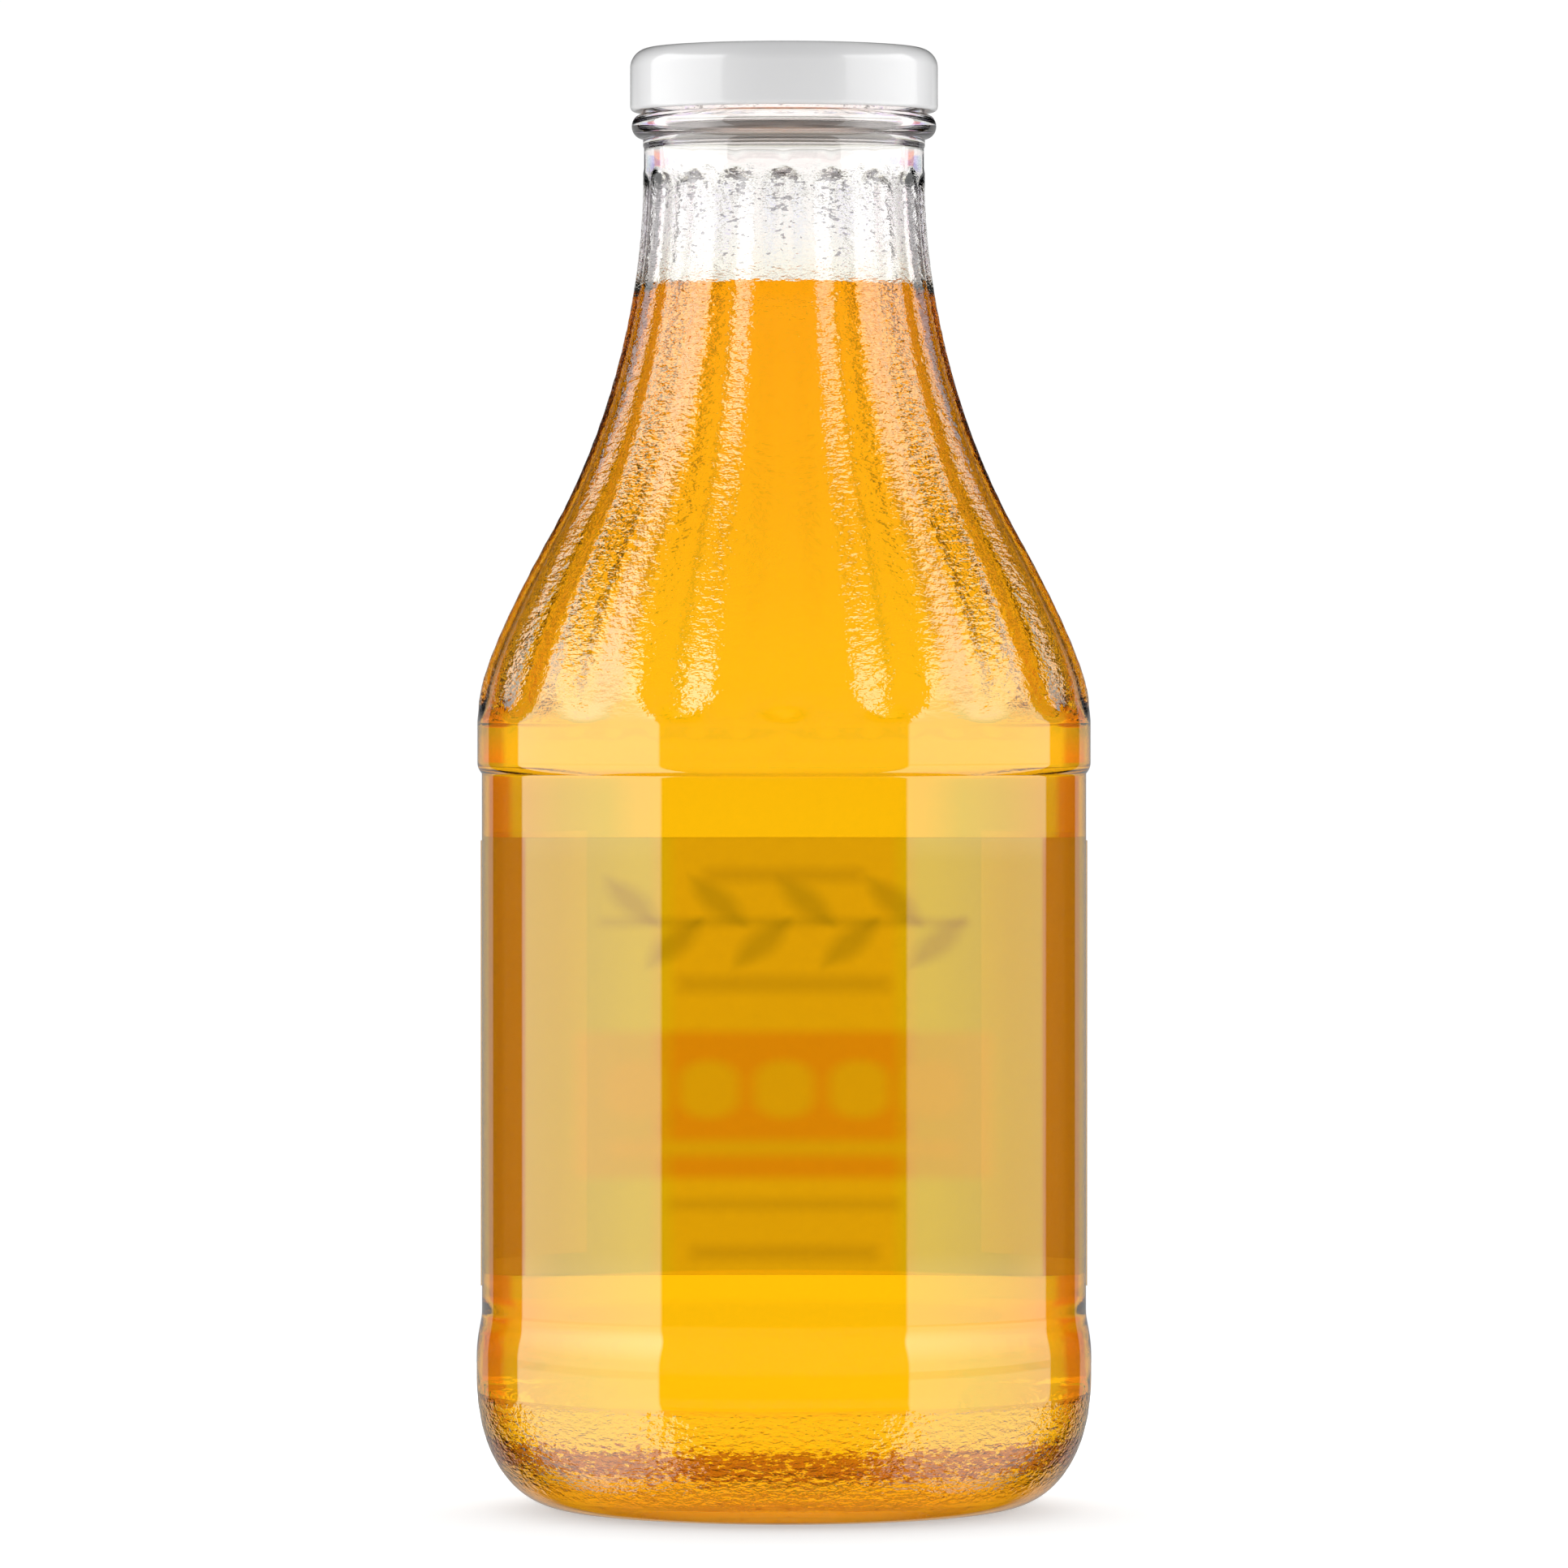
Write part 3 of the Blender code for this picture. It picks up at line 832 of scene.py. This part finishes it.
# %% [markdown]
# The juice takes the blue out of white light and much of the green. A real liquid does it along the
# way that the light travels, which needs a volume. Here the tint sits on the shader's base colour,
# which colours light once on its way through and renders without grain. It runs from orange in the
# neck to a brighter yellow in the body, and is deeper again in the foot. The juice bends light less
# than real juice does, which sets how wide the label shows through it.

# %% The juice
JUICE_IOR = 1.2
NECK_JUICE = (1.0, 0.413, 0.004)
BODY_JUICE = (1.0, 0.55, 0.002)
FOOT_JUICE = (1.0, 0.36, 0.002)
TOWARDS_NECK = (110.0 * MM, 190.0 * MM)
TOWARDS_FOOT = (12.0 * MM, 5.0 * MM)
juice_material, tree, shader = finish("amber_juice")
height = tree.parts(tree.place())[2]
tint = tree.mixed(height.ramp(*TOWARDS_NECK), BODY_JUICE, NECK_JUICE)
tint = tree.mixed(height.ramp(*TOWARDS_FOOT), tint, FOOT_JUICE)
tree.feed(shader, {
    "Base Color": tint,
    "Roughness": 0.0,
    "IOR": JUICE_IOR,
    "Transmission Weight": 1.0,
})
juice.data.materials.append(juice_material)
print(juice_material.name, "has", len(juice_material.node_tree.nodes), "nodes")

# %% [markdown]
# The cap is stoved enamel: white, satin, with the faint orange peel of a sprayed coat. A clear coat
# over the paint gives the soft shine, and two noises keep it from being dead even: a wide one in
# tone and roughness, and a fine one as bump.

# %% The cap
ENAMEL = ((0.87, 0.87, 0.88), (0.91, 0.91, 0.91))
CLOUD_NOISE = (60.0, 3.0)
PEEL_NOISE = (900.0, 2.0)
PEEL_BUMP = (0.03 * MM, 0.5)
cap_material, tree, shader = finish("white_enamel")
place = tree.place()
cloud = tree.noise(place, *CLOUD_NOISE)
peel = tree.bump(tree.noise(place, *PEEL_NOISE), *PEEL_BUMP)
tree.feed(shader, {
    "Base Color": tree.mixed(cloud, *ENAMEL),
    "Roughness": 0.28 + cloud * 0.08,
    "Coat Weight": 1.0,
    "Coat Roughness": 0.10,
    "Coat IOR": 1.8,
    "Normal": peel,
})
cap.data.materials.append(cap_material)
print(cap_material.name, "has", len(cap_material.node_tree.nodes), "nodes")

# %% [markdown]
# The print on the label is plain fields of colour: a broad box with a row of rounded discs and a
# strip in it, a sprig of eight leaves above it, and four short bars. Each shape is a distance, and
# a mask is what lies within it. A soft edge blurs the mask, for the face that the print only soaks
# through to.


# %% Shapes for the print
def box_shape(across, up, centre, half, corner, soft):
    """A rounded box: distance = length of what is beyond the inner box, less the corner's radius."""
    over = abs(across - centre[0]) - (half[0] - corner)
    above = abs(up - centre[1]) - (half[1] - corner)
    beyond = (over.at_least(0.0) ** 2 + above.at_least(0.0) ** 2) ** 0.5
    distance = beyond + over.at_least(above).at_most(0.0) - corner
    return (0.5 - distance / soft).clamped()


def leaf_shape(across, up, centre, half, turn, soft):
    """A leaf: two arcs, |v| < b (1 - (u/a)^2), in axes turned by an angle."""
    cos, sin = math.cos(turn), math.sin(turn)
    u = (across - centre[0]) * (cos / half[0]) + (up - centre[1]) * (sin / half[0])
    v = (across - centre[0]) * (-sin) + (up - centre[1]) * cos
    distance = abs(v) - (1 - u * u).at_least(-1.0) * half[1]
    return (0.5 - distance / soft).clamped()


# %% Lay out the print, in millimetres on the flat paper
FIELD = ((0.0, 27.5), (24.0, 11.8), 1.5)
STRIP = ((0.0, 20.5), (20.0, 1.3), 1.2)
DISC_HALF = (3.4, 4.6)
DISC_CORNER = 3.3
DISCS = [(-17.0 + 8.5 * column, 30.0) for column in range(5)]
STEM_HEIGHT = 57.0
STEM = ((0.0, STEM_HEIGHT), (21.0, 0.5), 0.4)
LEAF_HALF = (4.8, 1.7)
LEAF_TURN = 0.9
LEAF_SIDES = (-1, 1) * 4
LEAVES = [((-17.5 + 5.0 * step, STEM_HEIGHT + 3.4 * side), side) for step, side in enumerate(LEAF_SIDES)]
BARS = (
    ((0.0, 64.6), (9.0, 1.2)),
    ((0.0, 47.0), (12.0, 1.4)),
    ((0.0, 11.4), (13.0, 0.9)),
    ((0.0, 3.6), (10.5, 1.2)),
)
BAR_CORNER = 0.6


def print_masks(across, up, soft):
    """The field, what is pale on it, the sprig, and the bars: sums of the shapes in each."""
    field = box_shape(across, up, *FIELD, soft)
    pale = sum(box_shape(across, up, middle, DISC_HALF, DISC_CORNER, soft) for middle in DISCS)
    pale = pale + box_shape(across, up, *STRIP, soft)
    sprig = box_shape(across, up, *STEM, soft)
    for middle, side in LEAVES:
        sprig = sprig + leaf_shape(across, up, middle, LEAF_HALF, side * LEAF_TURN, soft)
    bars = sum(box_shape(across, up, middle, half, BAR_CORNER, soft) for middle, half in BARS)
    return field, pale, sprig, bars


print("discs, leaves and bars in the print:", len(DISCS), len(LEAVES), len(BARS))

# %% [markdown]
# The paper is cream with a faint grain of fibres, and a tan panel closes each end. Its far face
# shows the print crisp. The face on the glass shows the same print soft and weak, as it soaks
# through. That face is only ever seen through the juice, which takes the blue and much of the green
# out of it again. So it is tinted to look right there, and light and shade are painted on it: it is
# greener and paler beside the middle, which is painted light, duller towards the ends, which is
# painted shade, and its panels are darker than outside, which is painted shade too.

# %% The colours of the label, with painted light and shade on the face on the glass
FIBRES = ((0.90, 0.78, 0.52), (0.95, 0.84, 0.60))
# Painted light: the face on the glass is paler and greener beside the middle
PAINTED_LIGHT_ZONE = (12.0, 15.5)
PAINTED_LIGHT_TINT = (0.80, 0.97, 0.43)
# Painted shade: the face on the glass is duller towards the ends
PAINTED_SHADE_ZONE = (17.0, 26.0)
PAINTED_SHADE_TINT = (0.66, 0.77, 0.42)
END_PANEL = (29.4, 29.7)
# Painted shade: the panels on the face on the glass are darker than outside
NEAR_PANEL_PAINTED_SHADE = (0.55, 0.36, 0.20)
FAR_PANEL = (0.84, 0.68, 0.42)
FIELD_INK = (0.86, 0.46, 0.10)
# The field's ink where the painted light is
FIELD_INK_IN_PAINTED_LIGHT = (0.80, 0.76, 0.26)
PALE_INK = (0.86, 0.80, 0.50)
LEAF_INK = (0.46, 0.44, 0.14)
BAR_INK = (0.52, 0.44, 0.18)
FAR_EDGE_SOFT = 0.3
NEAR_EDGE_SOFT = 2.0


def printed_paper(tree, fibres, far_face):
    """Paper with painted light and shade on the face on the glass, by the distance from the middle, then
    each mask of the print over it.
    """
    across, up, _ = tree.parts(tree.add("ShaderNodeUVMap", {"uv_map": "flat_paper"}))
    sideways = abs(across)
    near_face = 1 - far_face
    # Face on the glass only: painted light beside the middle, painted shade towards the ends and on the
    # panels
    painted_light = sideways.ramp(*PAINTED_LIGHT_ZONE) * near_face
    paper = tree.mixed(painted_light, tree.mixed(fibres, *FIBRES), PAINTED_LIGHT_TINT)
    paper = tree.mixed(sideways.ramp(*PAINTED_SHADE_ZONE) * near_face, paper, PAINTED_SHADE_TINT)
    paper = tree.mixed(sideways.ramp(*END_PANEL), paper, tree.mixed(far_face, NEAR_PANEL_PAINTED_SHADE, FAR_PANEL))
    soft = NEAR_EDGE_SOFT - far_face * (NEAR_EDGE_SOFT - FAR_EDGE_SOFT)
    field, pale, sprig, bars = print_masks(across, up, soft)
    for mask, near_strength, far_strength, ink in (
        (field, 0.75, 0.95, tree.mixed(painted_light, FIELD_INK, FIELD_INK_IN_PAINTED_LIGHT)),
        (pale, 0.80, 0.80, PALE_INK),
        (sprig, 0.55, 0.85, LEAF_INK),
        (bars, 0.42, 0.80, BAR_INK),
    ):
        strength = near_strength + far_face * (far_strength - near_strength)
        paper = tree.mixed((mask * strength).clamped(), paper, ink)
    return paper


print("the end panels start", END_PANEL[0], "mm from the middle of the label")

# %% [markdown]
# Light also comes through the paper from behind. That is a Translucent shader mixed with the
# paper's own: most of it on the face on the glass, less on the far face. Backfacing tells a ray
# that is already within the sheet, and such a ray meets a pale translucent wall, so that light gets
# through both faces.

# %% The label
WITHIN_TINT = (0.98, 0.97, 0.92)
NEAR_THIN = 0.90
FAR_THIN = 0.28
FIBRE_NOISE = (700.0, 3.0)
FIBRE_BUMP = (0.03 * MM, 0.3)
PAPER_ROUGHNESS = 0.62
label_material, tree, shader = finish("label_paper")
place = tree.place()
x, y, _ = tree.parts(place)
far_face = ((x * x + y * y) ** 0.5).ramp(LABEL_INNER + 0.3 * PAPER, LABEL_INNER + 0.7 * PAPER)
fibres = tree.noise(place, *FIBRE_NOISE)
bump = tree.bump(fibres, *FIBRE_BUMP)
within = tree.add("ShaderNodeNewGeometry", output="Backfacing")
paper = tree.mixed(within, printed_paper(tree, fibres, far_face), WITHIN_TINT)
tree.feed(shader, {"Base Color": paper, "Roughness": PAPER_ROUGHNESS, "Normal": bump})
lit_through = tree.add("ShaderNodeBsdfTranslucent", {}, {"Color": paper})
thin = (NEAR_THIN - far_face * (NEAR_THIN - FAR_THIN)) * (1 - within) + within
sheet = tree.add("ShaderNodeMixShader", {}, {0: thin, 1: Wire(tree, shader.outputs[0]), 2: lit_through})
tree.feed(tree.nodes["Material Output"], {"Surface": sheet})
label.data.materials.append(label_material)
print(label_material.name, "has", len(label_material.node_tree.nodes), "nodes")

# %% [markdown]
# Each new piece stands for one imported solid: it hangs from the root's empty, and the solid is hidden.

# %% Put the pieces on the frame
for piece, node, slot in (
    (glass, "glass_bottle", "clear_glass"),
    (juice, "juice", "amber_juice"),
    (cap, "cap", "white_enamel"),
    (label, "label", "label_paper"),
):
    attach(piece, "root")
    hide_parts(node)
    print(piece.name, "stands for", node)

# %% [markdown]
# The studio is white all round. What gives glass its form is where it is not white: two tall soft
# boxes stand left and right of the camera with darkness between them, and the lit backdrop behind
# the bottle has darker zones. Lamps and cards could be built for this, but a world node tree plays
# all of them without noise. It works in two angles: how far a direction is turned from the front,
# and how far it rises above the level. Rays find this world by themselves, so it isn't sampled as
# a lamp.

# %% The directions of the studio
DEGREES = 180 / math.pi
world = bpy.data.worlds.new("studio")
bpy.context.scene.world = world
world.use_nodes = True
world.cycles.sampling_method = "NONE"
tree = Tree(world.node_tree)
x, y, z = tree.parts(tree.add("ShaderNodeTexCoord", output="Generated"))
from_front = abs(x).math("ARCTAN2", y * -1.0) * DEGREES
rise = z.math("ARCSINE") * DEGREES
# 1 on the right of the middle and 0 on its left
on_right = (x * 1000).clamped()
print("the directions take", len(tree.nodes), "nodes")

# %% [markdown]
# Rays that the glass mirrors see the two boxes. The left one is a little brighter, and both are
# brighter towards the top. The panel mirrors a belt of them at the heights where the label is, and
# that belt is dimmer, as the light on the glass is fainter in front of the label. Far round the
# back there is a faint light for the bottle's edges.

# %% What mirrored rays see
BOX_TURNS = (47.4, 118.7, 1.2)
BOX_RISES = (-50.0, 34.0, 3.0)
BRIGHTER_UP = (4.0, 22.0)
LABEL_BELT = (-3.4, -1.1, 0.15)
EDGE_LIGHT_TURNS = (146.5, 148.0)
EDGE_LIGHT_RISES = (-25.0, 4.0, 6.0)
boxes = from_front.window(*BOX_TURNS) * rise.window(*BOX_RISES)
dimmer = rise.window(*LABEL_BELT) * (0.15 + on_right * 0.13)
brightness = (1.0 - on_right * 0.18) * (1.0 + rise.ramp(*BRIGHTER_UP) * 0.9)
edge_light = from_front.ramp(*EDGE_LIGHT_TURNS) * rise.window(*EDGE_LIGHT_RISES) * 0.33
mirrored = boxes * (1 - dimmer) * brightness + edge_light + 0.01
print("each box spans", round(BOX_TURNS[1] - BOX_TURNS[0], 1), "degrees")

# %% [markdown]
# Rays that come through the bottle see the backdrop, dimmed and coloured in zones. The body looks
# at the part below the level, and there the sides and the outer zone take some red and green out,
# as thick juice does towards the edge. A dimmer gap on either side draws the dark strips of the
# body, warm at the low rises that rays through the juice have. Higher up lie dusk, glow and night,
# which the neck and the ring under the cap look at. Light that a ray would bring back from the
# front, mirrored by the skin of the juice inside, is put out at low rises, because it would whiten
# the colour.

# %% What rays that come through see
WET_RISES = (1.8, 0.8)
GAP_TURNS = (139.6, 152.4, 2.5)
GAP_RISES = (-10.5, 8.0, 3.0)
GAP_DARKNESS = 0.35
GAP_SHARES = (-0.30, 0.16, 0.30)
BODY_TURNS = (138.0, 141.0)
BODY_RISES = (-20.0, -0.5, 0.6)
SIDE_TURNS = (173.5, 168.5)
SIDE_FADE = (-4.2, -8.0)
OUTER_TURNS = (171.0, 154.0)
SKIN_TURNS = (80.0, 60.0)
SKIN_RISES = (-5.0, 1.2, 1.0)
DUSK_RISES = (10.8, 15.2, 0.6)
GLOW_RISES = (15.2, 18.5, 0.6)
NIGHT_RISES = (18.2, 19.5)
BACKDROP = 1.40
wet = rise.ramp(*WET_RISES)
gap = from_front.window(*GAP_TURNS) * rise.window(*GAP_RISES)
on_body = from_front.ramp(*BODY_TURNS) * rise.window(*BODY_RISES)
side = from_front.ramp(*SIDE_TURNS) * on_body * (1 - rise.ramp(*SIDE_FADE) * 0.65)
outer = from_front.ramp(*OUTER_TURNS) * on_body
skin_mirror = from_front.ramp(*SKIN_TURNS) * rise.window(*SKIN_RISES)
dusk = rise.window(*DUSK_RISES)
glow = rise.window(*GLOW_RISES)
night = rise.ramp(*NIGHT_RISES)
ZONES = (
    (skin_mirror, (1.0, 1.0, 1.0)),
    (wet, (-0.07, 0.0, 0.0)),
    (side, (0.27, 0.03, 0.0)),
    (outer, (0.15, 0.38, 0.0)),
    (dusk, (0.34, 0.36, 0.38)),
    (glow, (0.0, 0.0, 0.10)),
    (night, (0.40, 0.44, 0.52)),
)


def backdrop(channel):
    """The backdrop's red, green or blue: each zone takes its share of that colour away."""
    seen = (1 - gap * GAP_DARKNESS - gap * wet * GAP_SHARES[channel]) * BACKDROP
    for zone, shares in ZONES:
        if shares[channel]:
            seen = seen * (1 - zone * shares[channel])
    return seen


through = [backdrop(channel) for channel in range(3)]
print("zones in the backdrop, with the gap:", len(ZONES) + 1)

# %% [markdown]
# Cap, paper and floor are lit by rays that they scatter, and those see a soft, even room. The
# camera itself sees white. The light path node tells these rays apart by how they left the last
# surface.

# %% Put the world together
CAMERA_WHITE = 1.02
ROOM_LIGHT = 0.46
FROM_BOXES = 1.5
FROM_BEHIND = 0.84
BEHIND_TURNS = (119.0, 124.0)
room = boxes * FROM_BOXES + from_front.ramp(*BEHIND_TURNS) * FROM_BEHIND + ROOM_LIGHT
light_path = tree.add("ShaderNodeLightPath").socket.node
looks = {socket.name: Wire(tree, socket) for socket in light_path.outputs}
not_scattered = 1 - looks["Is Diffuse Ray"]
is_camera = looks["Is Camera Ray"]
is_through = looks["Is Transmission Ray"] * not_scattered
is_mirrored = looks["Is Reflection Ray"] * not_scattered
scattered = room * (1 - is_mirrored) * (1 - is_through) * (1 - is_camera)
others = scattered + mirrored * is_mirrored + is_camera * CAMERA_WHITE
channels = {i: others + through[i] * is_through for i in range(3)}
shade = tree.add("ShaderNodeCombineXYZ", {}, channels)
tree.feed(tree.nodes["Background"], {"Color": shade, "Strength": 1.0})
print("the world has", len(tree.nodes), "nodes")

# %% [markdown]
# The floor is a pale disc, a hair below the foot. Like the backdrop it is lit to white. Mirrored
# rays and rays through the bottle pass it by, so that it draws no line in the glass.

# %% The floor
FLOOR_RADIUS = 0.34
FLOOR_MIDDLE = 0.1
FLOOR_LEVEL = -0.2 * MM
FLOOR_COLUMNS = 96
FLOOR_NOISE = (40.0, 2.0)
FLOOR_TONES = ((0.86, 0.86, 0.86), (0.90, 0.90, 0.90))
rings = np.array([[radius, FLOOR_LEVEL] for radius in (0.0, FLOOR_MIDDLE, FLOOR_RADIUS)])
floor = turned("pale_floor", rings, FLOOR_COLUMNS)
floor_material, tree, shader = finish("pale_floor")
grain = tree.noise(tree.place(), *FLOOR_NOISE)
tree.feed(shader, {
    "Base Color": tree.mixed(grain, *FLOOR_TONES),
    "Roughness": 0.7,
    "Specular IOR Level": 0.0,
    "Emission Color": (1.0, 1.0, 1.0, 1.0),
    "Emission Strength": 0.45,
})
floor.data.materials.append(floor_material)
floor.visible_glossy = False
floor.visible_transmission = False

# %% [markdown]
# The camera stands level with the lower half of the shoulder, a long lens away, so the bottle's
# upright edges stay upright.

# %% The camera
EYE = Vector((0.0, -1.642, 0.1359))
AIM = Vector((0.0, 0.0, 0.1146))
SENSOR = 36.0
LENS = 238.0
lens = bpy.data.cameras.new("camera")
lens.sensor_width = SENSOR
lens.lens = LENS
camera = bpy.data.objects.new("camera", lens)
bpy.context.scene.collection.objects.link(camera)
camera.location = EYE
camera.rotation_euler = (AIM - EYE).to_track_quat("-Z", "Y").to_euler()
bpy.context.scene.camera = camera
bpy.context.scene.view_settings.view_transform = "Standard"
print("the camera is", round((AIM - EYE).length, 2), "m away")
